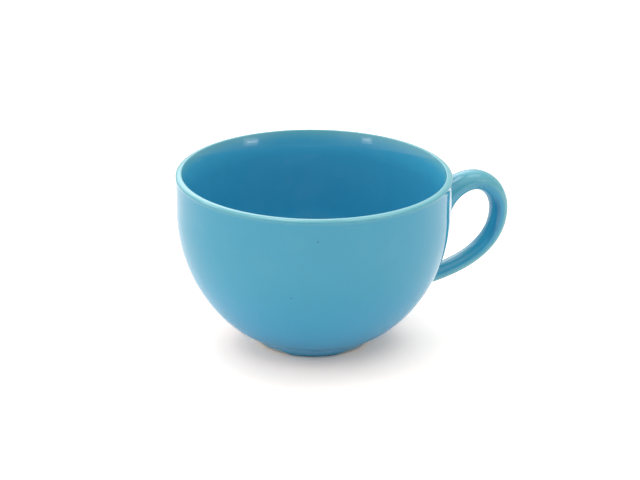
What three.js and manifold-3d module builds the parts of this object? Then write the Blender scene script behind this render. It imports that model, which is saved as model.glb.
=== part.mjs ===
// A glazed coffee cup: a round-sided bowl on a turned foot ring, with a looped handle joined on with slip.
// Millimetres, +Z up. The cup stands on Z = 0, its handle points along +X, and the origin is the middle of
// the whole cup's length and width, on the table.

import * as THREE from "three";
import { LoftGeometry } from "three/addons/geometries/LoftGeometry.js";
import { mergeVertices } from "three/addons/utils/BufferGeometryUtils.js";
import Module from "manifold-3d";

// Bowl
const CUP_HEIGHT = 66.4;
const BOWL_RADIUS = 52; // outside, at the top of the rounded side
const BASE_RADIUS = 23.9; // outside, where the bowl sits on its foot
const UPRIGHT_HEIGHT = 14.5; // the wall above the rounded side
const RIM_LEAN = 0.3; // how far that wall leans out by the rim
const WALL_THICKNESS = 4.2;
const FLOOR_THICKNESS = 4.2;
const INSIDE_FULLNESS = 2.4; // power of the inside curve: 2 is an ellipse, more is fuller at the bottom
const LIP_THICKNESS = 2.9;
const LIP_TAPER_HEIGHT = 6; // the wall thins to the lip over this height, on the inside

// Foot ring
const FOOT_HEIGHT = 2.4;
const FOOT_SETBACK = 0.7; // the ring's top stands in from the bowl's base by this
const FOOT_TAPER = 0.7; // the ring's outside draws in by this towards the table
const FOOT_WIDTH = 5.2;
const FOOT_EDGE = 0.5; // bevel of the two edges that meet the table

// Handle centre line: two arcs that meet at its outermost point, each with a pull along its tangents
const UPPER_ROOT_DROP = 17.6; // middle of the upper end, below the rim
const UPPER_ROOT_ANGLE = 46; // degrees above level, leaving the wall
const UPPER_ROOT_PULL = 19.5;
const UPPER_BEND_PULL = 10.4;
const HANDLE_REACH = 24.9; // outermost point, beyond the bowl's radius
const REACH_DROP = 23.65; // outermost point, below the rim
const LOWER_BEND_PULL = 16.6;
const LOWER_ROOT_PULL = 16.3;
const LOWER_ROOT_ANGLE = 3.2; // degrees above level, leaving the wall
const LOWER_ROOT_HEIGHT = 18.1; // middle of the lower end, above the table

// Handle section: an oval, wider than thick, that tapers from the upper end to the lower and flares at both
const UPPER_THICKNESS = 8.4;
const UPPER_WIDTH = 10.9;
const LOWER_THICKNESS = 6.1;
const LOWER_WIDTH = 7.9;
const TAPER_POWER = 1.7; // above 1, most of the taper is near the upper end
const UPPER_FLARE = 3.3; // growth of both at the wall
const LOWER_FLARE = 2;
const FLARE_LENGTH = 5; // distance from the wall over which a flare fades

// Slip collars
const SLIP_LENGTH = 2.4; // along the handle, from the corner
const SLIP_SPREAD = 1.8; // along the wall, from the corner
const SLIP_EDGE = 0.4; // thickness left at the thin edges

const CLEARANCE = 0.3; // between curved pieces that meet

// Facets
const TURN_STEPS = 64;
const SIDE_STEPS = 14;
const LIP_STEPS = 6;
const ARC_STEPS = 16;
const LEAD_STEPS = 3;
const OVAL_STEPS = 22;
const FILLET_STEPS = 4;

const GLAZE_COLOUR = 0x57a7be;
const FOOT_COLOUR = 0x54819d;
const GLAZE_ROUGHNESS = 0.12;
const FOOT_ROUGHNESS = 0.4;

const wasm = await Module();
wasm.setup();

const shoulderZ = CUP_HEIGHT - UPRIGHT_HEIGHT;
const rimRadius = BOWL_RADIUS + RIM_LEAN;
// The rounded side is part of an ellipse about the shoulder, as tall as it takes to pass through the base.
const sideSweep = (shoulderZ - FOOT_HEIGHT) / Math.sqrt(1 - (BASE_RADIUS / BOWL_RADIUS) ** 2);

// Outside radius of the bowl at a height.
function outsideRadius(z) {
  if (z > shoulderZ) {
    return BOWL_RADIUS + (RIM_LEAN * (z - shoulderZ)) / UPRIGHT_HEIGHT;
  }
  return BOWL_RADIUS * Math.sqrt(Math.max(0, 1 - ((shoulderZ - z) / sideSweep) ** 2));
}

// Change of the outside radius with height.
function outsideSlope(z) {
  const step = 0.01;
  return (outsideRadius(z + step) - outsideRadius(z - step)) / (2 * step);
}

// Outside radius of the bowl at a height, grown by a gap square to its surface.
function grownRadius(z, gap) {
  return outsideRadius(z) + gap * Math.hypot(1, outsideSlope(z));
}

// Inside radius of the bowl at a height, below the lip's taper.
function insideRadius(z) {
  const floorZ = FOOT_HEIGHT + FLOOR_THICKNESS;
  const depth = Math.min(1, Math.max(0, (shoulderZ - z) / (shoulderZ - floorZ)));
  return (BOWL_RADIUS - WALL_THICKNESS) * (1 - depth ** INSIDE_FULLNESS) ** (1 / INSIDE_FULLNESS);
}

// Heights from the foot to the shoulder, closer together where the side curves most.
function sideHeights(low) {
  const heights = [];
  for (let i = 0; i <= SIDE_STEPS; i++) {
    heights.push(shoulderZ - (shoulderZ - low) * Math.cos((Math.PI / 2) * (i / SIDE_STEPS)));
  }
  return heights;
}

// A solid turned about the Z axis from a profile of radius and height, which runs up the outside.
function turned(profile) {
  const geometry = new THREE.LatheGeometry(profile, TURN_STEPS);
  return geometry.rotateX(Math.PI / 2);
}

function bowlGeometry() {
  const lipRadius = LIP_THICKNESS / 2;
  const lipCentreZ = CUP_HEIGHT - lipRadius;
  const lipCentreRadius = rimRadius - lipRadius;
  const floorZ = FOOT_HEIGHT + FLOOR_THICKNESS;
  const profile = [new THREE.Vector2(0, FOOT_HEIGHT)];
  for (const z of sideHeights(FOOT_HEIGHT)) {
    profile.push(new THREE.Vector2(outsideRadius(z), z));
  }
  for (let i = 0; i <= LIP_STEPS; i++) {
    const a = Math.PI * (i / LIP_STEPS);
    const x = lipCentreRadius + lipRadius * Math.cos(a);
    profile.push(new THREE.Vector2(x, lipCentreZ + lipRadius * Math.sin(a)));
  }
  profile.push(new THREE.Vector2(BOWL_RADIUS - WALL_THICKNESS, CUP_HEIGHT - LIP_TAPER_HEIGHT));
  for (const z of sideHeights(floorZ).reverse()) {
    profile.push(new THREE.Vector2(insideRadius(z), z));
  }
  return turned(profile);
}

function footGeometry() {
  const outerTop = BASE_RADIUS - FOOT_SETBACK;
  const outerLow = outerTop - FOOT_TAPER;
  const inner = outerTop - FOOT_WIDTH;
  const profile = [
    new THREE.Vector2(inner + FOOT_EDGE, 0),
    new THREE.Vector2(outerLow - FOOT_EDGE, 0),
    new THREE.Vector2(outerLow, FOOT_EDGE),
    new THREE.Vector2(outerTop, FOOT_HEIGHT),
    new THREE.Vector2(inner, FOOT_HEIGHT),
    new THREE.Vector2(inner, FOOT_EDGE),
    new THREE.Vector2(inner + FOOT_EDGE, 0),
  ];
  return turned(profile);
}

// The bowl's outside without its hollow, grown by the clearance, to trim the handle's ends.
function bowlEnvelope() {
  const profile = [new THREE.Vector2(0, FOOT_HEIGHT)];
  for (const z of [...sideHeights(FOOT_HEIGHT), CUP_HEIGHT]) {
    profile.push(new THREE.Vector2(grownRadius(z, CLEARANCE), z));
  }
  profile.push(new THREE.Vector2(0, CUP_HEIGHT));
  return turned(profile);
}

// The handle's centre line, in the XZ plane. Short leads at both ends run into the wall.
function handlePath() {
  const direction = (degrees) => {
    const a = THREE.MathUtils.degToRad(degrees);
    return new THREE.Vector3(Math.cos(a), 0, Math.sin(a));
  };
  const onWall = (z) => new THREE.Vector3(outsideRadius(z), 0, z);
  const up = new THREE.Vector3(0, 0, 1);
  const upperOut = direction(UPPER_ROOT_ANGLE);
  const lowerOut = direction(LOWER_ROOT_ANGLE);
  const upperRoot = onWall(CUP_HEIGHT - UPPER_ROOT_DROP);
  const lowerRoot = onWall(LOWER_ROOT_HEIGHT);
  const reach = new THREE.Vector3(BOWL_RADIUS + HANDLE_REACH, 0, CUP_HEIGHT - REACH_DROP);
  const leadBend = upperRoot.clone().addScaledVector(upperOut, -UPPER_THICKNESS / 2);
  const leadStart = leadBend.clone();
  leadStart.x -= WALL_THICKNESS + UPPER_THICKNESS / 2;
  const leadEnd = lowerRoot.clone().addScaledVector(lowerOut, -WALL_THICKNESS - LOWER_THICKNESS);
  const upperArc = new THREE.CubicBezierCurve3(
    upperRoot,
    upperRoot.clone().addScaledVector(upperOut, UPPER_ROOT_PULL),
    reach.clone().addScaledVector(up, UPPER_BEND_PULL),
    reach,
  );
  const lowerArc = new THREE.CubicBezierCurve3(
    reach,
    reach.clone().addScaledVector(up, -LOWER_BEND_PULL),
    lowerRoot.clone().addScaledVector(lowerOut, LOWER_ROOT_PULL),
    lowerRoot,
  );
  const path = new THREE.CurvePath();
  path.add(new THREE.QuadraticBezierCurve3(leadStart, leadBend, upperRoot));
  path.add(upperArc);
  path.add(lowerArc);
  path.add(new THREE.LineCurve3(lowerRoot, leadEnd));
  return path;
}

const path = handlePath();
// Distances along the centre line at the ends of its four stretches.
const pathMarks = [0, ...path.getCurveLengths()];
const pathLength = path.getLength();

// Growth of the handle's section near its two ends.
function rootFlare(distance) {
  const fromUpper = Math.max(0, distance - pathMarks[1]);
  const fromLower = Math.max(0, pathMarks[3] - distance);
  return UPPER_FLARE * Math.exp(-fromUpper / FLARE_LENGTH) + LOWER_FLARE * Math.exp(-fromLower / FLARE_LENGTH);
}

// A point on the handle's skin: a distance along its centre line, an angle round its oval and a growth.
function handleSkin(distance, angle, growth) {
  const place = THREE.MathUtils.clamp(distance / pathLength, 0, 1);
  const centre = path.getPoint(place);
  const along = path.getTangent(place);
  const outer = new THREE.Vector3(-along.z, 0, along.x);
  const share = THREE.MathUtils.clamp((distance - pathMarks[1]) / (pathMarks[3] - pathMarks[1]), 0, 1);
  const taper = (1 - share) ** TAPER_POWER;
  const flare = rootFlare(distance);
  const thickness = THREE.MathUtils.lerp(LOWER_THICKNESS, UPPER_THICKNESS, taper) + flare;
  const width = THREE.MathUtils.lerp(LOWER_WIDTH, UPPER_WIDTH, taper) + flare;
  const point = centre.clone();
  point.addScaledVector(outer, (thickness / 2 + growth) * Math.cos(angle));
  point.y -= (width / 2 + growth) * Math.sin(angle);
  return { point, centre };
}

const ovalAngle = (i) => (2 * Math.PI * i) / OVAL_STEPS;

// A three.js geometry as a solid that can be cut.
function solidOf(geometry) {
  const bare = new THREE.BufferGeometry();
  bare.setAttribute("position", geometry.getAttribute("position"));
  bare.setIndex(geometry.index);
  const merged = mergeVertices(bare);
  return new wasm.Manifold(
    new wasm.Mesh({
      numProp: 3,
      vertProperties: new Float32Array(merged.attributes.position.array),
      triVerts: new Uint32Array(merged.index.array),
    }),
  );
}

// A solid back as a three.js geometry.
function geometryOf(solid) {
  const mesh = solid.getMesh();
  const geometry = new THREE.BufferGeometry();
  geometry.setAttribute("position", new THREE.BufferAttribute(mesh.vertProperties, 3));
  geometry.setIndex(new THREE.BufferAttribute(mesh.triVerts, 1));
  geometry.computeVertexNormals();
  return geometry;
}

function handleGeometry() {
  const steps = [LEAD_STEPS, ARC_STEPS, ARC_STEPS, LEAD_STEPS];
  const distances = [0];
  steps.forEach((count, stretch) => {
    for (let i = 1; i <= count; i++) {
      distances.push(THREE.MathUtils.lerp(pathMarks[stretch], pathMarks[stretch + 1], i / count));
    }
  });
  const sections = distances.map((distance) =>
    Array.from({ length: OVAL_STEPS }, (_, i) => handleSkin(distance, ovalAngle(i), 0).point),
  );
  const whole = new LoftGeometry(sections, { capStart: true, capEnd: true });
  return geometryOf(solidOf(whole).subtract(solidOf(bowlEnvelope())));
}

// How far a point lies outside the wall and its clearance.
function outsideWall(point) {
  return Math.hypot(point.x, point.y) - grownRadius(point.z, CLEARANCE);
}

// Outward direction of the wall at a point on it.
function wallNormal(point) {
  const radius = Math.hypot(point.x, point.y);
  return new THREE.Vector3(point.x / radius, point.y / radius, -outsideSlope(point.z)).normalize();
}

// Distance along the centre line where one line of the handle's skin, a clearance clear of it, leaves the wall.
function wallCrossing(start, heading, angle) {
  const march = 0.5;
  const halvings = 30;
  const isOutside = (distance) => outsideWall(handleSkin(distance, angle, CLEARANCE).point) > 0;
  let outside = start;
  while (!isOutside(outside)) {
    outside += march * heading;
  }
  let inside = outside - march * heading;
  for (let i = 0; i < halvings; i++) {
    const middle = (inside + outside) / 2;
    if (isOutside(middle)) {
      outside = middle;
    } else {
      inside = middle;
    }
  }
  return outside;
}

// One section of a slip collar: from the corner up the handle, down the hollow fillet, and back along the wall.
function slipSection(start, heading, angle) {
  const crossing = wallCrossing(start, heading, angle);
  const { point: corner, centre } = handleSkin(crossing, angle, CLEARANCE);
  const normal = wallNormal(corner);
  const away = corner.clone().sub(centre);
  const fromHandle = away.clone().normalize();
  const onHandle = crossing + SLIP_LENGTH * heading;
  const handleEdge = handleSkin(onHandle, angle, CLEARANCE).point;
  const handleTip = handleSkin(onHandle, angle, CLEARANCE + SLIP_EDGE).point;
  const alongWall = away.addScaledVector(normal, -away.dot(normal)).normalize();
  const wallEdge = corner.clone().addScaledVector(alongWall, SLIP_SPREAD);
  const reachOut = grownRadius(wallEdge.z, CLEARANCE) / Math.hypot(wallEdge.x, wallEdge.y);
  wallEdge.x *= reachOut;
  wallEdge.y *= reachOut;
  const wallTip = wallEdge.clone().addScaledVector(wallNormal(wallEdge), SLIP_EDGE);
  const hollow = corner.clone().addScaledVector(normal, SLIP_EDGE).addScaledVector(fromHandle, SLIP_EDGE);
  const fillet = new THREE.QuadraticBezierCurve3(handleTip, hollow, wallTip);
  return [corner, handleEdge, ...fillet.getPoints(FILLET_STEPS), wallEdge];
}

// A slip collar round one end of the handle. Heading is 1 at the upper end and -1 at the lower.
function slipGeometry(start, heading) {
  const sections = [];
  for (let i = 0; i <= OVAL_STEPS; i++) {
    sections.push(slipSection(start, heading, ovalAngle(i % OVAL_STEPS) * heading));
  }
  return new LoftGeometry(sections);
}

function glaze() {
  return new THREE.MeshStandardMaterial({ color: GLAZE_COLOUR, roughness: GLAZE_ROUGHNESS, metalness: 0 });
}

function footFinish() {
  return new THREE.MeshStandardMaterial({ color: FOOT_COLOUR, roughness: FOOT_ROUGHNESS, metalness: 0 });
}

const cup = new THREE.Group();

function addPiece(name, geometry, material) {
  const mesh = new THREE.Mesh(geometry, material);
  mesh.name = name;
  cup.add(mesh);
}

addPiece("bowl", bowlGeometry(), glaze());
addPiece("foot_ring", footGeometry(), footFinish());
addPiece("handle", handleGeometry(), glaze());
addPiece("upper_handle_slip", slipGeometry(0, 1), glaze());
addPiece("lower_handle_slip", slipGeometry(pathLength, -1), glaze());

// The bowl's axis stands off the middle by half of what the handle adds to the length.
const extent = new THREE.Box3().setFromObject(cup);
cup.position.x = -(extent.min.x + extent.max.x) / 2;

const part = new THREE.Group();
part.add(cup);

export default part;
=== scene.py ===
"""Looks of a glazed coffee cup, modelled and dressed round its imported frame.

Lengths are metres and +Z is up. The cup stands on Z = 0 with its handle along +X.
"""

import bisect
import logging
import math
from collections.abc import Callable, Sequence
from dataclasses import dataclass, field
from enum import Enum

import bmesh
import bpy
from mathutils import Matrix, Vector
from mathutils.kdtree import KDTree


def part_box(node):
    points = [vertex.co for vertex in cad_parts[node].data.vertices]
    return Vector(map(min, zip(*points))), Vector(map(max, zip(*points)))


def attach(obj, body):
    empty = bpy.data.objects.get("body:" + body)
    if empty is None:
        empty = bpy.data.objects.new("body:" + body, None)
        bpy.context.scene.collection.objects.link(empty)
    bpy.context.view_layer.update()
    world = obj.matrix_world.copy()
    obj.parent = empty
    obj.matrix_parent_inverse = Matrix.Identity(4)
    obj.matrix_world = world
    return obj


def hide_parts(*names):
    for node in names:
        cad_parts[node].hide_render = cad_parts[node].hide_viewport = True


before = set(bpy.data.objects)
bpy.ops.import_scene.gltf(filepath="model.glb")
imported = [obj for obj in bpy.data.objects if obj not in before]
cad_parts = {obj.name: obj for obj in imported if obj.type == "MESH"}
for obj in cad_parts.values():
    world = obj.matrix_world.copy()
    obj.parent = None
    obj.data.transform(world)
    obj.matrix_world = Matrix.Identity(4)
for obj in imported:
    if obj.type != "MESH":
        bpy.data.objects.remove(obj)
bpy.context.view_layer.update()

LOG = logging.getLogger("coffee_cup")
MM = 0.001
BODY = "root"
MERGE_DISTANCE = 1e-7
REFRACTION = 1.6
CLOUD_ROUGHNESS = 0.55
# Attribute with the glaze's thickness and the painted shade laid over it, on one scale.
GLAZE_DEPTH_AND_SHADE = "glaze_depth"
ABOVE_LINE = "above_line"
X, Y, Z = Vector((1, 0, 0)), Vector((0, 1, 0)), Vector((0, 0, 1))

Colour = tuple[float, float, float]
Span = tuple[float, float]
Wave = tuple[float, float, float]
Piece = bpy.types.Object
Material = bpy.types.Material
Socket = bpy.types.NodeSocket


class Slot(Enum):
    """Material slots of the part's record."""

    GLAZE = "glaze"
    FOOT = "foot"


class DepthAndShade(Enum):
    """How thick the glaze lies, with painted shade, as marks on one scale. The marks within the hollow run
    below zero. The darker marks at either end stand partly for thicker glaze and partly for painted shade.
    """

    # Bottom of the hollow: thicker glaze and painted shade.
    DEEP_AND_SHADED = -2.0
    RICH = -1.0
    THIN = 0.0
    EVEN = 1.0
    # Low on the outside: thicker glaze and painted shade.
    FULL = 2.0
    # On the handle's inner side, and a little low on the outside: glaze gathered thick and painted shade.
    POOLED_AND_SHADED = 3.0


class End(Enum):
    """The handle's two ends. The value is the way along its centre line that leads out of the wall."""

    UPPER = 1
    LOWER = -1


# Modelling steps that several pieces share


def deselect_everything() -> None:
    """Leaves no object selected, in object mode."""
    if bpy.context.mode != "OBJECT":
        bpy.ops.object.mode_set(mode="OBJECT")
    bpy.ops.object.select_all(action="DESELECT")


def close_piece(name: str) -> Piece:
    """Merges and turns outwards the mesh in edit mode, and leaves it as a smooth object.

    Args:
        name: The piece's name.

    Returns:
        The finished object, at the origin.
    """
    bpy.ops.mesh.select_all(action="SELECT")
    bpy.ops.mesh.remove_doubles(threshold=MERGE_DISTANCE)
    bpy.ops.mesh.normals_make_consistent(inside=False)
    bpy.ops.object.mode_set(mode="OBJECT")
    piece = bpy.context.object
    bpy.ops.object.transform_apply(location=True, rotation=True, scale=True)
    bpy.ops.object.shade_smooth()
    piece.name = name
    piece.data.name = name
    return piece


def turn_profile(name: str, axis_x: float, profile: Sequence[Vector], steps: int) -> Piece:
    """Turns a profile round an upright axis, as on a wheel.

    Args:
        name: The piece's name.
        axis_x: Where the axis crosses the X axis.
        profile: Points in the XZ plane, with X measured from the axis.
        steps: Facets round the turn.

    Returns:
        The turned object.
    """
    deselect_everything()
    bpy.ops.mesh.primitive_plane_add(size=MM)
    bpy.ops.object.mode_set(mode="EDIT")
    bpy.ops.mesh.merge(type="CENTER")
    bpy.ops.transform.translate(value=profile[0] + axis_x * X)
    for here, there in zip(profile, profile[1:]):
        bpy.ops.mesh.extrude_region_move(TRANSFORM_OT_translate={"value": there - here})
    bpy.ops.mesh.select_all(action="SELECT")
    bpy.ops.mesh.spin(steps=steps, angle=2 * math.pi, center=axis_x * X, axis=Z)
    return close_piece(name)


def place_selected(points: Sequence[Vector]) -> None:
    """Moves the selected ring of the mesh in edit mode to a ring of points.

    Args:
        points: A place for each selected vertex, in their order round the ring.
    """
    shape = bmesh.from_edit_mesh(bpy.context.object.data)
    ring = [vertex for vertex in shape.verts if vertex.select]
    for vertex, point in zip(ring, points, strict=True):
        vertex.co = point
    bmesh.update_edit_mesh(bpy.context.object.data)


def cut_away(piece: Piece, cutter: Piece) -> None:
    """Cuts one object by another, which is then thrown away.

    Args:
        piece: The object that keeps its name and loses the cut.
        cutter: The closed object to cut by.
    """
    deselect_everything()
    piece.select_set(True)
    bpy.context.view_layer.objects.active = piece
    cut = piece.modifiers.new("trim", "BOOLEAN")
    cut.operation = "DIFFERENCE"
    cut.solver = "EXACT"
    cut.object = cutter
    bpy.ops.object.modifier_apply(modifier=cut.name)
    bpy.data.objects.remove(cutter)


def spread(count: int) -> list[float]:
    """Even shares from 0 to 1, both included."""
    return [i / count for i in range(count + 1)]


def flat(x: float, z: float) -> Vector:
    """A point in the XZ plane."""
    return Vector((x, 0, z))


def slanted(degrees: float) -> Vector:
    """A direction in the XZ plane, at an angle from +X towards +Z."""
    angle = math.radians(degrees)
    return math.cos(angle) * X + math.sin(angle) * Z


def arc(centre: Vector, radius: float, start: float, stop: float, count: int) -> list[Vector]:
    """Points on an arc in the XZ plane, both ends included, by their angles from +X towards +Z."""
    return [centre + radius * slanted(between(start, stop, share)) for share in spread(count)]


def bearing_direction(bearing: float, elevation: float) -> Vector:
    """The way from the cup at a bearing, round from -Y towards +X, and an elevation, in degrees."""
    a, e = math.radians(bearing), math.radians(elevation)
    return Vector((math.sin(a) * math.cos(e), -math.cos(a) * math.cos(e), math.sin(e)))


def ease(value: float, low: float, high: float) -> float:
    """A value's rise from 0 at a low mark to 1 at a high one, which starts and stops gently."""
    share = min(1.0, max(0.0, (value - low) / (high - low)))
    return share * share * (3 - 2 * share)


def between(first: float, second: float, share: float) -> float:
    """A value between two, at a share of the way from the first to the second."""
    return first + (second - first) * share


def mark(piece: Piece, name: str, measure: Callable[[Vector], float]) -> None:
    """Writes a measure of each vertex's place into a named attribute of the piece."""
    values = [measure(vertex.co) for vertex in piece.data.vertices]
    piece.data.attributes.new(name, "FLOAT", "POINT").data.foreach_set("value", values)


def bezier(controls: Sequence[Vector], share: float) -> Vector:
    """A point on a Bezier curve, by repeated halving between its control points.

    Args:
        controls: The curve's control points.
        share: 0 at its start and 1 at its end.

    Returns:
        The point.
    """
    points = list(controls)
    while len(points) > 1:
        points = [a.lerp(b, share) for a, b in zip(points, points[1:])]
    return points[0].copy()


# Finishes


class Wiring:
    """The nodes of one material or world, added and joined in short calls."""

    def __init__(self, owner: Material | bpy.types.World) -> None:
        """Starts with no nodes.

        Args:
            owner: A new material or world.
        """
        self.owner = owner
        owner.use_nodes = True
        self.tree = owner.node_tree
        self.tree.nodes.clear()

    def node(self, kind: str, feeds: dict[str | int, object] | None = None,
             **settings: object) -> bpy.types.Node:
        """Adds a node.

        Args:
            kind: The node's type, without its Shader prefix.
            feeds: What goes into its inputs, by name or number: a socket to join or a value to set.
            **settings: The node's own settings.

        Returns:
            The new node.
        """
        made = self.tree.nodes.new("ShaderNode" + kind)
        for name, value in settings.items():
            setattr(made, name, value)
        for key, value in (feeds or {}).items():
            self.feed(made.inputs[key], value)
        return made

    def feed(self, socket: Socket, value: object) -> None:
        """Joins a socket to an input, or sets the input to a value.

        Args:
            socket: The input.
            value: A socket, a colour or another value.
        """
        if isinstance(value, Socket):
            self.tree.links.new(value, socket)
        elif socket.type == "RGBA" and len(value) == 3:
            socket.default_value = (*value, 1.0)
        else:
            socket.default_value = value

    def place(self) -> Socket:
        """The place on the piece, in metres from its origin."""
        return self.node("TexCoord").outputs["Object"]

    def attribute(self, name: str) -> Socket:
        """A measure that the piece carries in its mesh."""
        return self.node("Attribute", attribute_name=name).outputs["Fac"]

    def noise(self, place: Socket, grain: float, detail: float = 2.0) -> Socket:
        """A cloudy pattern from 0 to 1, by the size of one cloud in metres and its finer octaves."""
        feeds = {"Vector": place, "Scale": 1 / grain, "Detail": detail, "Roughness": CLOUD_ROUGHNESS}
        return self.node("TexNoise", feeds).outputs["Fac"]

    def ease(self, value: Socket, low: float, high: float,
             to_low: float = 0.0, to_high: float = 1.0) -> Socket:
        """A value's smooth rise from one level at a low mark to another level at a high one."""
        feeds = {"Value": value, "From Min": low, "From Max": high, "To Min": to_low, "To Max": to_high}
        return self.node("MapRange", feeds, interpolation_type="SMOOTHSTEP").outputs["Result"]

    def rise(self, value: Socket, low: float, high: float) -> Socket:
        """A value's even rise from 0 at a low mark to 1 at a high one."""
        feeds = {"Value": value, "From Min": low, "From Max": high}
        return self.node("MapRange", feeds).outputs["Result"]

    def sum(self, *terms: Socket | float) -> Socket:
        """The sum of values."""
        return self.fold("ADD", terms)

    def product(self, *terms: Socket | float) -> Socket:
        """The product of values."""
        return self.fold("MULTIPLY", terms)

    def most(self, *terms: Socket | float) -> Socket:
        """The largest of some values."""
        return self.fold("MAXIMUM", terms)

    def fold(self, operation: str, terms: Sequence[Socket | float]) -> Socket:
        """Joins values one after the other.

        Args:
            operation: The Math node's operation.
            terms: The values.

        Returns:
            The last result.
        """
        total = terms[0]
        for term in terms[1:]:
            total = self.node("Math", {0: total, 1: term}, operation=operation).outputs["Value"]
        return total

    def blend(self, share: Socket, first: object, second: object) -> Socket:
        """A colour between two.

        Args:
            share: 0 for the first colour, 1 for the second.
            first: A colour or a socket.
            second: A colour or a socket.

        Returns:
            The mixed colour.
        """
        mix = self.node("Mix", data_type="RGBA")
        colour_inputs = [socket for socket in mix.inputs if socket.type == "RGBA"]
        self.feed(mix.inputs[0], share)
        self.feed(colour_inputs[0], first)
        self.feed(colour_inputs[1], second)
        return next(socket for socket in mix.outputs if socket.type == "RGBA")

    def done(self, surface: Socket) -> Material:
        """Joins a surface to the output and returns the material."""
        self.node("OutputMaterial", {"Surface": surface})
        return self.owner

    def ceramic(self, colour: Socket, roughness: Socket | float, relief: Socket) -> Material:
        """Joins a ceramic surface to the output.

        Args:
            colour: Its colour.
            roughness: Its roughness.
            relief: Height of its fine relief, in metres.

        Returns:
            The material.
        """
        bump = self.node("Bump", {"Strength": 1.0, "Distance": 1.0, "Height": relief})
        shader = self.node("BsdfPrincipled", {
            "Base Color": colour,
            "Roughness": roughness,
            "IOR": REFRACTION,
            "Normal": bump.outputs["Normal"],
        })
        return self.done(shader.outputs["BSDF"])


@dataclass(frozen=True)
class Glaze:
    """Glossy turquoise glaze: pale where it runs thin over an edge and bluer where it lies thicker. Its
    colour also carries painted shade: darker and bluer at the bottom of the hollow, low on the outside and
    on the handle's inner side.
    """

    pinholes: tuple[Vector, ...]
    name: str = "turquoise_glaze"
    # Bottom of the hollow: thicker glaze and painted shade, darker and bluer than rich.
    deep_and_shaded: Colour = (0.026, 0.3, 0.495)
    rich: Colour = (0.062, 0.412, 0.62)
    thin: Colour = (0.16, 0.475, 0.515)
    even: Colour = (0.041, 0.354, 0.52)
    # Low on the outside: thicker glaze and painted shade, bluer than even.
    full: Colour = (0.043, 0.366, 0.585)
    # Glaze gathered thick and painted shade, on the handle's inner side and a little at the foot of the
    # outside.
    pooled_and_shaded: Colour = (0.015, 0.21, 0.42)
    pit: Colour = (0.012, 0.1, 0.17)
    roughness: float = 0.07
    cloud: float = 9 * MM
    cloud_range: Span = (0.3, 0.7)
    cloud_share: float = 0.05
    peel: float = 2.2 * MM
    peel_height: float = 0.004 * MM
    pinhole_core: float = 0.34 * MM / 3
    pinhole_radius: float = 0.34 * MM
    pinhole_depth: float = 0.1 * MM

    def material(self) -> Material:
        """The glaze as a node material.

        Returns:
            The material.
        """
        w = Wiring(bpy.data.materials.new(self.name))
        place = w.place()
        clouds = w.noise(place, self.cloud)
        uneven = w.ease(clouds, *self.cloud_range, -self.cloud_share, self.cloud_share)
        # The marked thickness carries painted shade at places, so the tones below blend that shade in too.
        depth = w.sum(w.attribute(GLAZE_DEPTH_AND_SHADE), uneven)
        holes = self.holes(w, place)
        colour = self.thin
        for start, stop, tone in (
            (DepthAndShade.THIN, DepthAndShade.EVEN, self.even),
            (DepthAndShade.EVEN, DepthAndShade.FULL, self.full),
            (DepthAndShade.FULL, DepthAndShade.POOLED_AND_SHADED, self.pooled_and_shaded),
            (DepthAndShade.THIN, DepthAndShade.RICH, self.rich),
            (DepthAndShade.RICH, DepthAndShade.DEEP_AND_SHADED, self.deep_and_shaded),
        ):
            colour = w.blend(w.rise(depth, start.value, stop.value), colour, tone)
        colour = w.blend(holes, colour, self.pit)
        skin = w.product(w.noise(place, self.peel, 1.0), self.peel_height)
        relief = w.sum(skin, w.product(holes, -self.pinhole_depth))
        return w.ceramic(colour, self.roughness, relief)

    def holes(self, w: Wiring, place: Socket) -> Socket:
        """The pinholes that the glaze left as it boiled.

        Args:
            w: The material's wiring.
            place: The place on the piece.

        Returns:
            1 in a pinhole and 0 elsewhere.
        """
        shares = []
        for spot in self.pinholes:
            gap = w.node("VectorMath", {0: place, 1: spot}, operation="DISTANCE").outputs["Value"]
            shares.append(w.ease(gap, self.pinhole_core, self.pinhole_radius, 1.0, 0.0))
        return w.most(*shares)


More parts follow.
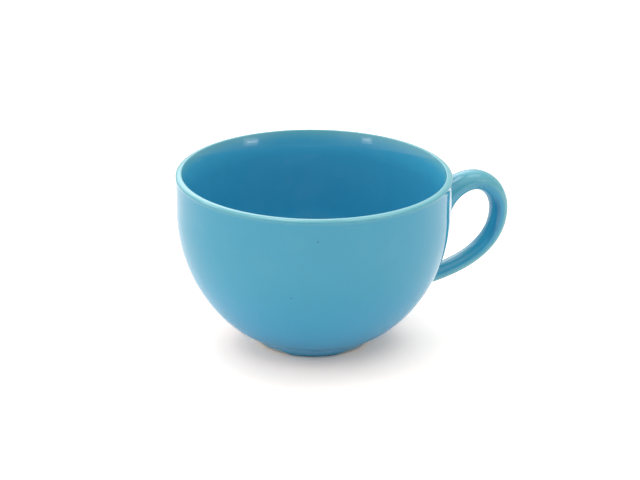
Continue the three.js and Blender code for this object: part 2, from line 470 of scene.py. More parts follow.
@dataclass(frozen=True)
class FootFinish:
    """The glaze down the foot's outside, its thick edge, and the bare clay below it. The glaze is lighter
    near the top, partly where it breaks pale over the crease and partly as painted light, and darker
    towards the table as painted contact shade.
    """

    name: str = "glaze_over_bare_clay"
    # Upper foot: lighter than the bowl's glaze, partly where it breaks pale over the crease and partly
    # painted light.
    glaze: Colour = (0.24, 0.6, 0.86)
    # Towards the table: painted contact shade, darker than the glaze above.
    low: Colour = (0.085, 0.37, 0.53)
    rolled: Colour = (0.05, 0.16, 0.21)
    clay: Colour = (0.66, 0.73, 0.71)
    speck: Colour = (0.52, 0.58, 0.55)
    # Heights of the painted contact shade: at its darkest below the first, gone above the second.
    shade_darkest_below: float = 0.3 * MM
    shade_gone_above: float = 3.2 * MM
    roll: float = 0.35 * MM
    blur: float = 0.06 * MM
    grain: float = 0.5 * MM
    grain_detail: float = 3.0
    grain_height: float = 0.03 * MM
    speck_range: Span = (0.4, 0.65)
    glaze_roughness: float = 0.08
    clay_roughness: float = 0.85

    def material(self) -> Material:
        """The finishes as one node material, parted at the glaze line.

        Returns:
            The material.
        """
        w = Wiring(bpy.data.materials.new(self.name))
        above = w.attribute(ABOVE_LINE)
        grain = w.noise(w.place(), self.grain, self.grain_detail)
        clay = w.blend(w.ease(grain, *self.speck_range), self.clay, self.speck)
        height = w.node("SeparateXYZ", {0: w.place()}).outputs["Z"]
        # Painted contact shade: the glaze darkens from the top of the foot down to the table.
        coat = w.blend(w.ease(height, self.shade_darkest_below, self.shade_gone_above), self.low, self.glaze)
        glaze = w.blend(w.ease(above, 0.0, self.roll), self.rolled, coat)
        glazed = w.ease(above, -self.blur, self.blur)
        roughness = w.ease(glazed, 0.0, 1.0, self.clay_roughness, self.glaze_roughness)
        relief = w.product(grain, w.ease(glazed, 0.0, 1.0, self.grain_height, 0.0))
        return w.ceramic(w.blend(glazed, clay, glaze), roughness, relief)


@dataclass(frozen=True)
class FloorFinish:
    """Plain white sweep that keeps the cup's shadow."""

    name: str = "white_sweep"
    lit: Colour = (0.92, 0.92, 0.92)
    mirrored: Colour = (1.02, 1.02, 1.02)
    shown: Colour = (1.53, 1.325, 1.205)
    shown_near: Colour = (1.98, 1.44, 1.18)
    foot: float = 21 * MM
    near: float = 23.5 * MM
    far: float = 45 * MM

    def material(self, middle: Vector) -> Material:
        """The sweep as a node material, brighter where it is seen, so that only its shadow is grey.

        Args:
            middle: The middle of the cup's foot. The sweep is warmer near it, against the blue light there.

        Returns:
            The material.
        """
        w = Wiring(bpy.data.materials.new(self.name))
        away = w.node("VectorMath", {0: w.place(), 1: middle}, operation="DISTANCE").outputs["Value"]
        warm = w.product(w.rise(away, self.foot, self.near), w.rise(away, self.far, self.near))
        shown = w.blend(warm, self.shown, self.shown_near)
        path = w.node("LightPath").outputs
        in_mirror = w.most(path["Is Glossy Ray"], path["Is Transmission Ray"])
        colour = w.blend(in_mirror, self.lit, self.mirrored)
        matte = w.node("BsdfDiffuse", {"Color": w.blend(path["Is Camera Ray"], colour, shown)})
        return w.done(matte.outputs[0])


# Pieces


class CupPart:
    """What the parts of the cup share: a node of the CAD model, a material slot and a way to be dressed."""

    node: str
    slot: Slot = Slot.GLAZE

    def dress(self, piece: Piece, finish: Material) -> None:
        """Gives the part's piece its finish and ties it to the frame.

        Args:
            piece: The piece that the part's build method models.
            finish: Its material.
        """
        piece.data.materials.clear()
        piece.data.materials.append(finish)
        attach(piece, BODY)
        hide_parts(self.node)


@dataclass
class Bowl(CupPart):
    """The turned vessel: a rounded side, an upright wall, a rounded lip and the hollow."""

    node: str = "bowl"
    upright: float = 14.5 * MM
    rim_lean: float = 0.3 * MM
    base_radius: float = 23.9 * MM
    base_tuck: float = 3.5 * MM
    tuck_height: float = 4.2 * MM
    wall: float = 4.2 * MM
    floor: float = 4.2 * MM
    fullness: float = 2.4
    lip: float = 2.4 * MM
    lip_outer: float = 0.8 * MM
    lip_top: float = 2.8 * MM
    lip_inner: float = 0.35 * MM
    lip_bends: Span = (55.0, 93.0)
    lip_slope: float = 22.0
    lip_coat: Span = (-0.3 * MM, 2.2 * MM)
    # Low on the outside the tone turns bluer and a little darker: partly thicker glaze, partly painted
    # shade.
    side_coat_and_shade: Span = (20 * MM, 60 * MM)
    side_coat_and_shade_gain: float = 1.1
    inner_lip_coat: Span = (-1.5 * MM, 4.5 * MM)
    # Down the hollow the tone turns darker towards the bottom: partly thicker glaze, partly painted shade.
    hollow_coat_and_shade: Span = (5 * MM, 42 * MM)
    base_edge: float = 0.6 * MM
    recess_radius: float = 17.5 * MM
    recess_dome: float = 0.7 * MM
    turn_steps: int = 192
    side_steps: int = 56
    upright_steps: int = 12
    lip_steps: int = 10
    taper_steps: int = 20
    recess_steps: int = 8
    pinholes: tuple[Span, ...] = ((-19.1, 58.2 * MM), (-30.1, 34.9 * MM))
    axis_x: float = field(init=False)
    height: float = field(init=False)
    base_z: float = field(init=False)
    radius: float = field(init=False)

    def __post_init__(self) -> None:
        """Reads the bowl's place and outer size from the frame."""
        low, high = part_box(self.node)
        self.axis_x = (low.x + high.x) / 2
        self.height = high.z
        self.base_z = low.z
        self.radius = (high.x - low.x) / 2 - self.rim_lean

    @property
    def shoulder_z(self) -> float:
        """Height where the rounded side ends and the wall stands upright."""
        return self.height - self.upright

    @property
    def side_sweep(self) -> float:
        """Half height of the ellipse that the rounded side is part of."""
        reach = 1 - (self.base_radius / self.radius) ** 2
        return (self.shoulder_z - self.base_z) / math.sqrt(reach)

    def outside(self, z: float) -> float:
        """The outside radius.

        Args:
            z: The height.

        Returns:
            The radius at that height.
        """
        if z > self.shoulder_z:
            return self.radius + self.rim_lean * ((z - self.shoulder_z) / self.upright) ** 2
        drop = (self.shoulder_z - z) / self.side_sweep
        low = max(0.0, 1 - (z - self.base_z) / self.tuck_height)
        return self.radius * math.sqrt(max(0.0, 1 - drop * drop)) - self.base_tuck * low * low

    def outside_slope(self, z: float) -> float:
        """Change of the outside radius with height."""
        step = 0.01 * MM
        return (self.outside(z + step) - self.outside(z - step)) / (2 * step)

    def wall_point(self, z: float) -> Vector:
        """A point on the outside, in the XZ plane from the axis."""
        return flat(self.outside(z), z)

    def inside(self, z: float) -> float:
        """The inside radius, below the lip's taper.

        Args:
            z: The height.

        Returns:
            The radius at that height.
        """
        floor_z = self.base_z + self.floor
        depth = min(1.0, max(0.0, (self.shoulder_z - z) / (self.shoulder_z - floor_z)))
        return (self.radius - self.wall) * (1 - depth**self.fullness) ** (1 / self.fullness)

    def wall_normal(self, point: Vector) -> Vector:
        """The wall's outward direction.

        Args:
            point: A point on the wall, from the bowl's axis.

        Returns:
            A unit vector.
        """
        around = math.hypot(point.x, point.y)
        slope = self.outside_slope(point.z)
        return Vector((point.x / around, point.y / around, -slope)).normalized()

    def heights(self, low: float, high: float) -> list[float]:
        """Heights up a rounded side, closer together where it curves most."""
        return [high - (high - low) * math.cos(math.pi / 2 * share) for share in spread(self.side_steps)]

    def lip_outline(self) -> list[Vector]:
        """The lip: a small outer round, a broad flat one and a tight inner one.

        Returns:
            Its points in the XZ plane, from outside to inside.
        """
        first, second = self.lip_bends
        last = 180 - self.lip_slope
        rounds = (
            (self.lip_outer, 0.0, first),
            (self.lip_top, first, second),
            (self.lip_inner, second, last),
        )
        centre = flat(self.outside(self.height) - self.lip_outer, 0)
        outline = [centre + X * self.lip_outer]
        last_radius = self.lip_outer
        for radius, start, stop in rounds:
            centre = centre + (last_radius - radius) * slanted(start)
            outline += arc(centre, radius, start, stop, self.lip_steps)[1:]
            last_radius = radius
        lift = self.height - max(point.z for point in outline)
        return [point + Z * lift for point in outline]

    def profile(self) -> list[Vector]:
        """The outline that is turned.

        Returns:
            Points from the underside's middle, up the outside, over the lip and down to the floor.
        """
        lip = self.lip_outline()
        wall_inside = self.radius - self.wall
        taper_drop = (lip[-1].x - wall_inside) / math.tan(math.radians(self.lip_slope))
        taper_bend = flat(wall_inside, lip[-1].z - taper_drop)
        taper_low = taper_bend - Z * taper_drop
        outline = []
        for share in spread(self.recess_steps):
            dome = self.recess_dome * (1 - share * share)
            outline.append(flat(self.recess_radius * share, self.base_z + dome))
        start = self.base_z + self.base_edge / 2
        outline.append(flat(self.outside(start) - self.base_edge, self.base_z))
        outline.append(flat(self.outside(start) - self.base_edge / 4, self.base_z + self.base_edge / 8))
        outline += [self.wall_point(z) for z in self.heights(start, self.shoulder_z)]
        for share in spread(self.upright_steps)[1:]:
            outline.append(self.wall_point(between(self.shoulder_z, lip[0].z, share)))
        outline += lip[1:]
        taper = [lip[-1], taper_bend, taper_low]
        outline += [bezier(taper, share) for share in spread(self.taper_steps)[1:]]
        floor_z = self.base_z + self.floor
        outline += [flat(self.inside(z), z) for z in reversed(self.heights(floor_z, self.shoulder_z))]
        return outline

    def glaze_depth(self, place: Vector) -> float:
        """How thick the glaze lies, with painted shade laid over it: thin over the lip, even down the
        outside and bluer and darker low on it, rich down the hollow and darker towards its bottom. The
        lower outside and the bottom of the hollow are partly thicker glaze and partly painted shade.

        Args:
            place: A place on the bowl.

        Returns:
            The depth, on the scale of Depth.
        """
        reach = math.hypot(place.x - self.axis_x, place.y)
        below_rim = self.height - place.z
        if reach > self.outside(place.z) - self.lip / 2:
            # Outside: thin over the lip, then bluer and darker low down, partly thicker glaze and partly
            # painted shade.
            return ease(below_rim, *self.lip_coat) + self.side_coat_and_shade_gain * ease(below_rim, *self.side_coat_and_shade)
        # Hollow: rich under the lip, then darker towards the bottom, partly thicker glaze and partly
        # painted shade.
        return -ease(below_rim, *self.inner_lip_coat) - ease(below_rim, *self.hollow_coat_and_shade)

    def spots(self) -> tuple[Vector, ...]:
        """Places of the pinholes on the outside, from their bearings and heights."""
        ways = [(bearing_direction(bearing, 0), z) for bearing, z in self.pinholes]
        return tuple(self.axis_x * X + way * self.outside(z) + Z * z for way, z in ways)

    def build(self) -> Piece:
        """Turns the bowl.

        Returns:
            The piece, marked with its glaze's depth and painted shade.
        """
        piece = turn_profile("glazed_bowl", self.axis_x, self.profile(), self.turn_steps)
        mark(piece, GLAZE_DEPTH_AND_SHADE, self.glaze_depth)
        return piece

    def plug(self, depth: float) -> Piece:
        """A solid of the bowl's outside, to cut the handle's ends by.

        Args:
            depth: How far it is drawn in.

        Returns:
            The solid.
        """
        rows = [between(self.base_z, self.height, share) for share in spread(self.side_steps)]
        outline = [flat(0, rows[0])]
        for z in rows:
            inset = depth * math.hypot(1, self.outside_slope(z))
            outline.append(flat(self.outside(z) - inset, z))
        outline.append(flat(0, rows[-1]))
        return turn_profile("bowl_plug", self.axis_x, outline, self.turn_steps)


@dataclass
class FootRing(CupPart):
    """The turned ring that the bowl stands on, with the glaze that fills the corner above it."""

    bowl: Bowl
    node: str = "foot_ring"
    slot: Slot = Slot.FOOT
    taper: float = 1.0 * MM
    width: float = 5.2 * MM
    edge: float = 0.9 * MM
    sink: float = 0.3 * MM
    fillet_top: float = 3.7 * MM
    fillet_low: float = 2.7 * MM
    tuck: float = 0.25 * MM
    sunk: float = 0.06 * MM
    glaze_thickness: float = 0.12 * MM
    run_bearing: float = -19.0
    run_half: float = 14.0
    run_edge: float = 36.0
    line_height: float = 1.5 * MM
    line_wander: float = 0.14 * MM
    line_waves: tuple[Wave, ...] = ((1.0, 5.0, 40.0), (0.5, 13.0, 0.0))
    coat_rise: Span = (-0.05 * MM, 0.15 * MM)
    coat_low: float = 0.1 * MM
    turn_steps: int = 240
    fillet_steps: int = 20
    wall_steps: int = 6
    edge_steps: int = 8
    outer: float = field(init=False)
    height: float = field(init=False)

    def __post_init__(self) -> None:
        """Reads the ring's radius and height from the frame."""
        low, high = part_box(self.node)
        self.outer = (high.x - low.x) / 2 - self.glaze_thickness
        self.height = high.z

    def profile(self) -> list[Vector]:
        """The ring's closed outline.

        Returns:
            Its points, in the XZ plane from the bowl's axis.
        """
        outer = self.outer
        inner = outer - self.width
        top = self.height + self.sink
        foot = outer - self.taper

        def wall(z: float) -> Vector:
            """A point on the ring's own wall."""
            return flat(foot + (outer - foot) * z / self.height, z)

        def side(z: float, growth: float) -> Vector:
            """A point off the bowl's side."""
            on_side = self.bowl.wall_point(z)
            return on_side + self.bowl.wall_normal(on_side) * growth

        seat = side(self.fillet_top, -self.glaze_thickness)
        slope = self.bowl.outside_slope(self.fillet_top)
        corner = wall(self.fillet_top - (seat.x - outer) / slope)
        centre_out = flat(foot - self.edge, self.edge)
        centre_in = flat(inner + self.edge, self.edge)
        fillet = [seat, corner, wall(self.fillet_low)]
        rows = spread(self.wall_steps)[1:]
        outline = [flat(inner, top)]
        outline.append(side(self.fillet_top + self.tuck, -self.sunk - self.glaze_thickness))
        outline += [bezier(fillet, share) for share in spread(self.fillet_steps)]
        outline += [wall(between(self.fillet_low, self.edge, share)) for share in rows]
        outline += arc(centre_out, self.edge, 0, -90, self.edge_steps)[1:]
        outline += arc(centre_in, self.edge, -90, -180, self.edge_steps)
        outline += [flat(inner, between(self.edge, top, share)) for share in rows]
        return outline

    def clear_of_flat(self, place: Vector) -> float:
        """Distance in or out from the ring's flat underside, which is wiped bare.

        Args:
            place: A place on the ring.

        Returns:
            The distance, which is below zero on the flat.
        """
        away = math.hypot(place.x - self.bowl.axis_x, place.y)
        middle = self.outer - (self.width + self.taper) / 2
        half = (self.width - self.taper) / 2 - self.edge
        return abs(away - middle) - half

    def above_line(self, place: Vector) -> float:
        """Height above the glaze's lower edge, which runs down to the table at one bearing.

        Args:
            place: A place on the ring.

        Returns:
            The height, which is below zero on bare clay.
        """
        turn = math.degrees(math.atan2(place.x - self.bowl.axis_x, -place.y))
        off = abs((turn - self.run_bearing + 180) % 360 - 180)
        lift = ease(off, self.run_half, self.run_edge)
        wander = 0.0
        for size, count, start in self.line_waves:
            wander += size * math.sin(math.radians(count * turn + start))
        line = (self.line_height + self.line_wander * wander) * lift
        return min(place.z - line + self.edge * (1 - lift), self.clear_of_flat(place))

    def build(self) -> Piece:
        """Turns the ring and lays the glaze's thickness over it, down to its lower edge.

        Returns:
            The piece, marked with the height above the glaze line.
        """
        piece = turn_profile("turned_foot_ring", self.bowl.axis_x, self.profile(), self.turn_steps)
        glazed = piece.vertex_groups.new(name="glazed")
        for vertex in piece.data.vertices:
            share = ease(self.above_line(vertex.co), *self.coat_rise)
            glazed.add([vertex.index], share * ease(vertex.co.z, self.coat_low, self.edge), "REPLACE")
        coat = piece.modifiers.new("glaze_coat", "DISPLACE")
        coat.strength = self.glaze_thickness
        coat.mid_level = 0.0
        coat.vertex_group = glazed.name
        bpy.ops.object.modifier_apply(modifier=coat.name)
        mark(piece, ABOVE_LINE, self.above_line)
        return piece


@dataclass
class Handle(CupPart):
    """The looped ear: an oval swept along a centre line, flared where it meets the wall."""

    bowl: Bowl
    node: str = "handle"
    upper_root_drop: float = 17.6 * MM
    upper_root_angle: float = 46.0
    upper_root_pull: float = 19.5 * MM
    upper_bend_pull: float = 10.4 * MM
    reach: float = 24.9 * MM
    reach_drop: float = 23.65 * MM
    lower_bend_pull: float = 16.6 * MM
    lower_root_pull: float = 16.3 * MM
    lower_root_angle: float = 3.2
    lower_root_height: float = 18.1 * MM
    upper_thickness: float = 8.4 * MM
    upper_width: float = 10.9 * MM
    lower_thickness: float = 6.1 * MM
    lower_width: float = 7.9 * MM
    taper_power: float = 1.7
    upper_flare: float = 3.3 * MM
    lower_flare: float = 2.0 * MM
    flare_length: float = 5.0 * MM
    root_depth: float = 1.2 * MM
    upper_coat: float = 0.58
    lower_coat: float = 0.25
    coat_change: Span = (0.08, 0.36)
    # These lay thick glaze and painted shade along the loop's inner side and the middle of its flanks,
    # fading towards its ends.
    pool_and_shade_depth: float = 2.3
    pool_and_shade_upper: float = 0.1
    pool_and_shade_start: Span = (0.15, 0.4)
    pool_and_shade_lower: float = 0.4
    pool_and_shade_stop: Span = (0.5, 0.75)
    pool_and_shade_edge: Span = (-0.35, 0.36)
    pool_and_shade_inner: float = 0.45
    pool_and_shade_inner_edge: Span = (-1.0, -0.65)
    ring_steps: int = 64
    sweep_steps: int = 120
    trail_steps: int = 240
    trail: list[Vector] = field(init=False)
    marks: list[float] = field(init=False)
    root_marks: Span = field(init=False)

    def __post_init__(self) -> None:
        """Lays the centre line out as fine steps, with the distance along it at each."""
        stretches = self.stretches()
        self.trail = [stretches[0][0]]
        ends = []
        for controls in stretches:
            self.trail += [bezier(controls, share) for share in spread(self.trail_steps)[1:]]
            ends.append(len(self.trail) - 1)
        self.marks = [0.0]
        for here, there in zip(self.trail, self.trail[1:]):
            self.marks.append(self.marks[-1] + (there - here).length)
        self.root_marks = (self.marks[ends[0]], self.marks[ends[2]])

    def stretches(self) -> list[list[Vector]]:
        """The centre line's four stretches.

        Returns:
            The control points of each, in the XZ plane from the bowl's axis.
        """
        bowl = self.bowl
        upper_out = slanted(self.upper_root_angle)
        lower_out = slanted(self.lower_root_angle)
        upper_root = bowl.wall_point(bowl.height - self.upper_root_drop)
        lower_root = bowl.wall_point(self.lower_root_height)
        outermost = flat(bowl.radius + self.reach, bowl.height - self.reach_drop)
        lead_bend = upper_root - upper_out * self.upper_thickness / 2
        lead_start = lead_bend - X * (bowl.wall + self.upper_thickness / 2)
        lead_end = lower_root - lower_out * (bowl.wall + self.lower_thickness)
        upper_arc = [upper_root, upper_root + upper_out * self.upper_root_pull,
                     outermost + Z * self.upper_bend_pull, outermost]
        lower_arc = [outermost, outermost - Z * self.lower_bend_pull,
                     lower_root + lower_out * self.lower_root_pull, lower_root]
        return [[lead_start, lead_bend, upper_root], upper_arc, lower_arc, [lower_root, lead_end]]

    def along(self, distance: float) -> tuple[Vector, float]:
        """A place on the centre line.

        Args:
            distance: How far along it.

        Returns:
            The point, from the bowl's axis, and the heading there from +X towards +Z, in radians.
        """
        last = len(self.marks) - 1
        step = min(last, max(1, bisect.bisect_left(self.marks, distance)))
        here, there = self.trail[step - 1], self.trail[step]
        share = (distance - self.marks[step - 1]) / (self.marks[step] - self.marks[step - 1])
        before = self.trail[max(0, step - 2)]
        after = self.trail[min(last, step + 1)]
        run = after - before
        heading = math.atan2(run.z, run.x)
        if heading > math.pi / 2:
            heading -= 2 * math.pi
        return here.lerp(there, share), heading

    def section(self, distance: float) -> tuple[float, float]:
        """Size of the oval.

        Args:
            distance: How far along the centre line.

        Returns:
            Its thickness and its width.
        """
        start, stop = self.root_marks
        share = min(1.0, max(0.0, (distance - start) / (stop - start)))
        taper = (1 - share) ** self.taper_power
        from_upper = max(0.0, distance - start)
        from_lower = max(0.0, stop - distance)
        flare = self.upper_flare * math.exp(-from_upper / self.flare_length)
        flare += self.lower_flare * math.exp(-from_lower / self.flare_length)
        thickness = between(self.lower_thickness, self.upper_thickness, taper) + flare
        width = between(self.lower_width, self.upper_width, taper) + flare
        return thickness, width

    def skin(self, distance: float, angle: float, growth: float = 0.0) -> Vector:
        """A point on the handle's skin, from the bowl's axis.

        Args:
            distance: How far along the centre line.
            angle: Angle round the oval from its outer side, in radians.
            growth: How far off the skin.

        Returns:
            The point.
        """
        centre, heading = self.along(distance)
        thickness, width = self.section(distance)
        outer = flat(-math.sin(heading), math.cos(heading))
        return (centre + outer * ((thickness / 2 + growth) * math.cos(angle))
                - Y * ((width / 2 + growth) * math.sin(angle)))

    def build(self) -> Piece:
        """Sweeps the oval along the centre line and trims its ends inside the wall.

        Returns:
            The piece, marked with its glaze's depth and painted shade.
        """
        deselect_everything()
        shift = self.bowl.axis_x * X
        centre, turned = self.along(0.0)
        thickness, width = self.section(0.0)
        bpy.ops.mesh.primitive_circle_add(vertices=self.ring_steps, radius=1.0, fill_type="NOTHING",
                                          location=centre + shift, rotation=(0, math.pi / 2, 0))
        bpy.ops.object.transform_apply(location=True, rotation=True, scale=True)
        bpy.ops.object.mode_set(mode="EDIT")
        bpy.ops.transform.resize(value=(1, width / 2, thickness / 2), center_override=centre + shift)
        bpy.ops.transform.rotate(value=turned, orient_axis="Y", center_override=centre + shift)
        for share in spread(self.sweep_steps)[1:]:
            distance = self.marks[-1] * share
            next_centre, next_turned = self.along(distance)
            next_thickness, next_width = self.section(distance)
            pivot = next_centre + shift
            growth = (1, next_width / width, next_thickness / thickness)
            bpy.ops.mesh.extrude_edges_move(TRANSFORM_OT_translate={"value": next_centre - centre})
            bpy.ops.transform.rotate(value=-turned, orient_axis="Y", center_override=pivot)
            bpy.ops.transform.resize(value=growth, center_override=pivot)
            bpy.ops.transform.rotate(value=next_turned, orient_axis="Y", center_override=pivot)
            centre, turned, thickness, width = next_centre, next_turned, next_thickness, next_width
        bpy.ops.mesh.select_all(action="SELECT")
        bpy.ops.mesh.fill_holes(sides=0)
        piece = close_piece("looped_handle")
        cut_away(piece, self.bowl.plug(self.root_depth))
        mark(piece, GLAZE_DEPTH_AND_SHADE, self.depth_finder())
        return piece

    def depth_finder(self) -> Callable[[Vector], float]:
        """A measure of how thick the glaze lies, with painted shade: thin along the loop's outer edge,
        darker on its inner side, where the glaze gathers thick and painted shade is laid on.

        Returns:
            A function that gives the depth at a place on the handle.
        """
        tree = KDTree(self.sweep_steps + 1)
        stations = [self.marks[-1] * share for share in spread(self.sweep_steps)]
        for i, distance in enumerate(stations):
            tree.insert(self.along(distance)[0] + self.bowl.axis_x * X, i)
        tree.balance()

        start, stop = self.root_marks
        shares = [(distance - start) / (stop - start) for distance in stations]
        coats = [between(self.upper_coat, self.lower_coat, ease(share, *self.coat_change))
                 for share in shares]
        starts = [between(self.pool_and_shade_upper, 1, ease(share, *self.pool_and_shade_start)) for share in shares]
        stops = [between(1, self.pool_and_shade_lower, ease(share, *self.pool_and_shade_stop)) for share in shares]
        headings = [self.along(distance)[1] for distance in stations]
        halves = [self.section(distance)[0] / 2 for distance in stations]

        def depth(place: Vector) -> float:
            """The glaze's depth, with painted shade on the loop's inner side.

            Args:
                place: A place on the handle.

            Returns:
                The depth, on the scale of Depth.
            """
            centre, i, _ = tree.find(flat(place.x, place.z))
            outer = flat(-math.sin(headings[i]), math.cos(headings[i]))
            off = (place - centre).dot(outer) / halves[i]
            # Thick glaze and painted shade: strongest on the loop's inner side, gone on its outer side.
            pool_and_shade = 1 - ease(off, *self.pool_and_shade_edge)
            pool_and_shade *= between(self.pool_and_shade_inner, 1, ease(off, *self.pool_and_shade_inner_edge))
            return coats[i] + self.pool_and_shade_depth * starts[i] * stops[i] * pool_and_shade

        return depth


@dataclass
class SlipCollar(CupPart):
    """The fillet of slip that fills the corner between one end of the handle and the wall."""

    handle: Handle
    end: End
    length: float = 2.4 * MM
    wall_reach: float = 1.8 * MM
    tuck: float = 0.3 * MM
    sunk: float = 0.06 * MM
    heart: float = 0.5 * MM
    glaze_depth: float = 1.25
    ring_steps: int = 96
    fillet_steps: int = 12

    @property
    def node(self) -> str:
        """The CAD node that this collar stands for."""
        return f"{self.end.name.lower()}_handle_slip"

    def crossing(self, angle: float) -> float:
        """Where one line of the handle's skin leaves the wall.

        Args:
            angle: Angle round the handle's oval, in radians.

        Returns:
            The distance along the centre line.
        """
        bowl = self.handle.bowl
        way = self.end.value

        def outside(distance: float) -> bool:
            """Whether the skin is clear of the wall at a distance."""
            point = self.handle.skin(distance, angle)
            return math.hypot(point.x, point.y) > bowl.outside(point.z)

        march = 0.5 * MM
        halvings = 24
        far = 0.0 if self.end is End.UPPER else self.handle.marks[-1]
        while not outside(far):
            far += march * way
        near = far - march * way
        for _ in range(halvings):
            middle = (near + far) / 2
            near, far = (near, middle) if outside(middle) else (middle, far)
        return far

    def on_wall(self, point: Vector, growth: float) -> Vector:
        """The place on the wall that is level with a point.

        Args:
            point: The point, from the bowl's axis.
            growth: How far off the wall.

        Returns:
            The place.
        """
        bowl = self.handle.bowl
        reach = bowl.outside(point.z) / math.hypot(point.x, point.y)
        seat = Vector((point.x * reach, point.y * reach, point.z))
        return seat + bowl.wall_normal(seat) * growth

    def section(self, angle: float) -> list[Vector]:
        """One section of the collar, from under the handle's skin down the fillet into the wall.

        Args:
            angle: Angle round the handle's oval, in radians.

        Returns:
            Its points, from the bowl's axis.
        """
        way = self.end.value
        start = self.crossing(angle)
        skin = self.handle.skin
        corner = skin(start, angle)
        normal = self.handle.bowl.wall_normal(corner)
        centre, _ = self.handle.along(start)
        away = corner - centre
        along_wall = (away - normal * away.dot(normal)).normalized()
        lip = skin(start + self.length * way, angle)
        tucked_lip = skin(start + (self.length + self.tuck) * way, angle, -self.sunk)
        hem = self.on_wall(corner + along_wall * self.wall_reach, 0.0)
        tucked_hem = self.on_wall(corner + along_wall * (self.wall_reach + self.tuck), -self.sunk)
        heart = corner - normal * self.heart - away.normalized() * self.heart
        fillet = [bezier([lip, corner, hem], share) for share in spread(self.fillet_steps)]
        return [heart, tucked_lip, *fillet, tucked_hem]

    def build(self) -> Piece:
        """Lays the collar's rings out one after the other and joins the last to the first.

        Returns:
            The piece, marked with its glaze's depth.
        """
        shift = self.handle.bowl.axis_x * X
        angles = [2 * math.pi * i / self.ring_steps for i in range(self.ring_steps)]
        sections = [self.section(angle) for angle in angles]
        rings = [[section[i] + shift for section in sections] for i in range(len(sections[0]))]
        deselect_everything()
        bpy.ops.mesh.primitive_circle_add(vertices=self.ring_steps, radius=1.0, fill_type="NOTHING")
        bpy.ops.object.mode_set(mode="EDIT")
        place_selected(rings[0])
        for ring in rings[1:]:
            bpy.ops.mesh.extrude_edges_move()
            place_selected(ring)
        bpy.ops.mesh.select_all(action="DESELECT")
        bpy.ops.mesh.select_non_manifold()
        bpy.ops.mesh.bridge_edge_loops()
        piece = close_piece(f"{self.end.name.lower()}_slip_collar")
        mark(piece, GLAZE_DEPTH_AND_SHADE, lambda place: self.glaze_depth)
        return piece


# Studio


@dataclass(frozen=True)
class Softbox:
    """A soft light, placed round the cup by its bearing from the camera."""

    name: str
    bearing: float
    elevation: float
    distance: float
    width: float
    height: float
    brightness: float

    def hang(self, target: Vector, camera_bearing: float) -> None:
        """Hangs the light and aims it.

        Args:
            target: What it points at.
            camera_bearing: The camera's own bearing, in degrees.
        """
        back = bearing_direction(camera_bearing + self.bearing, self.elevation)
        lamp = bpy.data.lights.new(self.name, "AREA")
        lamp.shape = "RECTANGLE"
        lamp.size = self.width
        lamp.size_y = self.height
        lamp.energy = self.brightness * math.pi * self.width * self.height
        holder = bpy.data.objects.new(self.name, lamp)
        holder.location = target + back * self.distance
        holder.rotation_euler = back.to_track_quat("Z", "Y").to_euler()
        bpy.context.scene.collection.objects.link(holder)


SOFTBOXES = (
    Softbox("key_softbox", -124, 45, 0.9, 0.2, 0.16, 2.6),
    Softbox("overhead_softbox", -135, 76, 0.9, 0.34, 0.3, 3.0),
    Softbox("front_left_softbox", -49, 16, 0.95, 0.16, 0.16, 1.4),
    Softbox("front_left_core", -49, 17, 0.93, 0.1, 0.05, 2.6),
    Softbox("front_right_softbox", 60, 14, 0.95, 0.24, 0.18, 1.3),
    Softbox("front_right_core", 59, 14, 0.93, 0.16, 0.05, 2.6),
    Softbox("right_softbox", 105, 64, 0.9, 0.42, 0.42, 1.5),
)


@dataclass(frozen=True)
class Glow:
    """A soft bright stretch of the studio's dome, or a dark one if its brightness is below zero."""

    bearing: float
    elevation: float
    reach: float
    brightness: float


GLOWS = (
    Glow(14, 4, 48, -0.5),
    Glow(-58, 5, 34, -0.5),
    Glow(-62, 38, 48, 0.72),
    Glow(60, 52, 45, 0.72),
    Glow(0, 66, 40, 0.2),
    Glow(-90, 28, 60, 0.47),
    Glow(180, 14, 75, 0.4),
    Glow(180, 48, 30, 1.2),
    Glow(-163, 31, 24, 2.3),
)


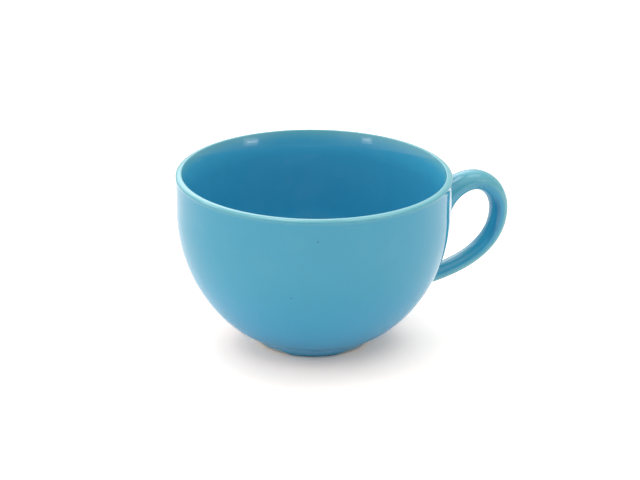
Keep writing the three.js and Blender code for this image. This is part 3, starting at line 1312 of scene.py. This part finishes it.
@dataclass(frozen=True)
class Studio:
    """Camera, white sweep and soft lights."""

    axis_x: float
    bearing: float = -21.0
    elevation: float = 20.99
    distance: float = 1.0
    aim_height: float = 39.09 * MM
    aim_right: float = 2.467 * MM
    roll: float = 0.57
    focal_pixels: float = 2629.1
    picture_width: float = 640.0
    sensor: float = 36.0
    floor_size: float = 6.0
    dome: float = 0.66

    def aim(self) -> Vector:
        """The point that the camera looks at."""
        right = bearing_direction(self.bearing + 90, 0)
        return self.axis_x * X + right * self.aim_right + Z * self.aim_height

    def place_camera(self) -> None:
        """Sets the camera at the photograph's angle."""
        back = bearing_direction(self.bearing, self.elevation)
        right = bearing_direction(self.bearing + 90, 0)
        up = back.cross(right)
        tilt = math.radians(self.roll)
        across = right * math.cos(tilt) + up * math.sin(tilt)
        upward = up * math.cos(tilt) - right * math.sin(tilt)
        turn = Matrix((across, upward, back)).transposed().to_4x4()
        lens = bpy.data.cameras.new("camera")
        lens.sensor_width = self.sensor
        lens.lens = self.focal_pixels * self.sensor / self.picture_width
        holder = bpy.data.objects.new("camera", lens)
        holder.matrix_world = Matrix.Translation(self.aim() + back * self.distance) @ turn
        bpy.context.scene.collection.objects.link(holder)
        bpy.context.scene.camera = holder

    def lay_floor(self) -> None:
        """Lays the white sweep under the cup."""
        deselect_everything()
        bpy.ops.mesh.primitive_plane_add(size=self.floor_size)
        floor = bpy.context.object
        floor.name = "white_sweep"
        floor.data.materials.append(FloorFinish().material(self.axis_x * X))

    def light(self) -> None:
        """Hangs the soft lights and sets the white surround."""
        target = self.axis_x * X + Z * self.aim_height
        for box in SOFTBOXES:
            box.hang(target, self.bearing)
        world = bpy.data.worlds.new("studio_dome")
        bpy.context.scene.world = world
        w = Wiring(world)
        gaze = w.node("TexCoord").outputs["Generated"]
        level = self.dome
        for glow in GLOWS:
            middle = bearing_direction(self.bearing + glow.bearing, glow.elevation)
            near = w.node("VectorMath", {0: gaze, 1: middle}, operation="DOT_PRODUCT").outputs["Value"]
            edge = math.cos(math.radians(glow.reach))
            level = w.sum(w.ease(near, edge, 1.0, 0.0, glow.brightness), level)
        lit = w.node("Background", {"Strength": level})
        white = w.node("Background", {"Strength": 1.0})
        eye = w.node("LightPath").outputs["Is Camera Ray"]
        both = w.node("MixShader", {"Fac": eye, 1: lit.outputs[0], 2: white.outputs[0]})
        w.node("OutputWorld", {"Surface": both.outputs[0]})
        bpy.context.scene.view_settings.view_transform = "Standard"


def main() -> None:
    """Builds the cup's parts in order, dresses them and sets the studio round them."""
    logging.basicConfig(level=logging.INFO, format="%(name)s: %(message)s")
    bowl = Bowl()
    handle = Handle(bowl)
    collars = [SlipCollar(handle, end) for end in End]
    finishes = {Slot.GLAZE: Glaze(bowl.spots()).material(), Slot.FOOT: FootFinish().material()}
    for part in (bowl, FootRing(bowl), handle, *collars):
        piece = part.build()
        part.dress(piece, finishes[part.slot])
        LOG.info("%s: %d faces in place of %s", piece.name, len(piece.data.polygons), part.node)
    studio = Studio(bowl.axis_x)
    studio.place_camera()
    studio.lay_floor()
    studio.light()


if __name__ == "__main__":
    main()
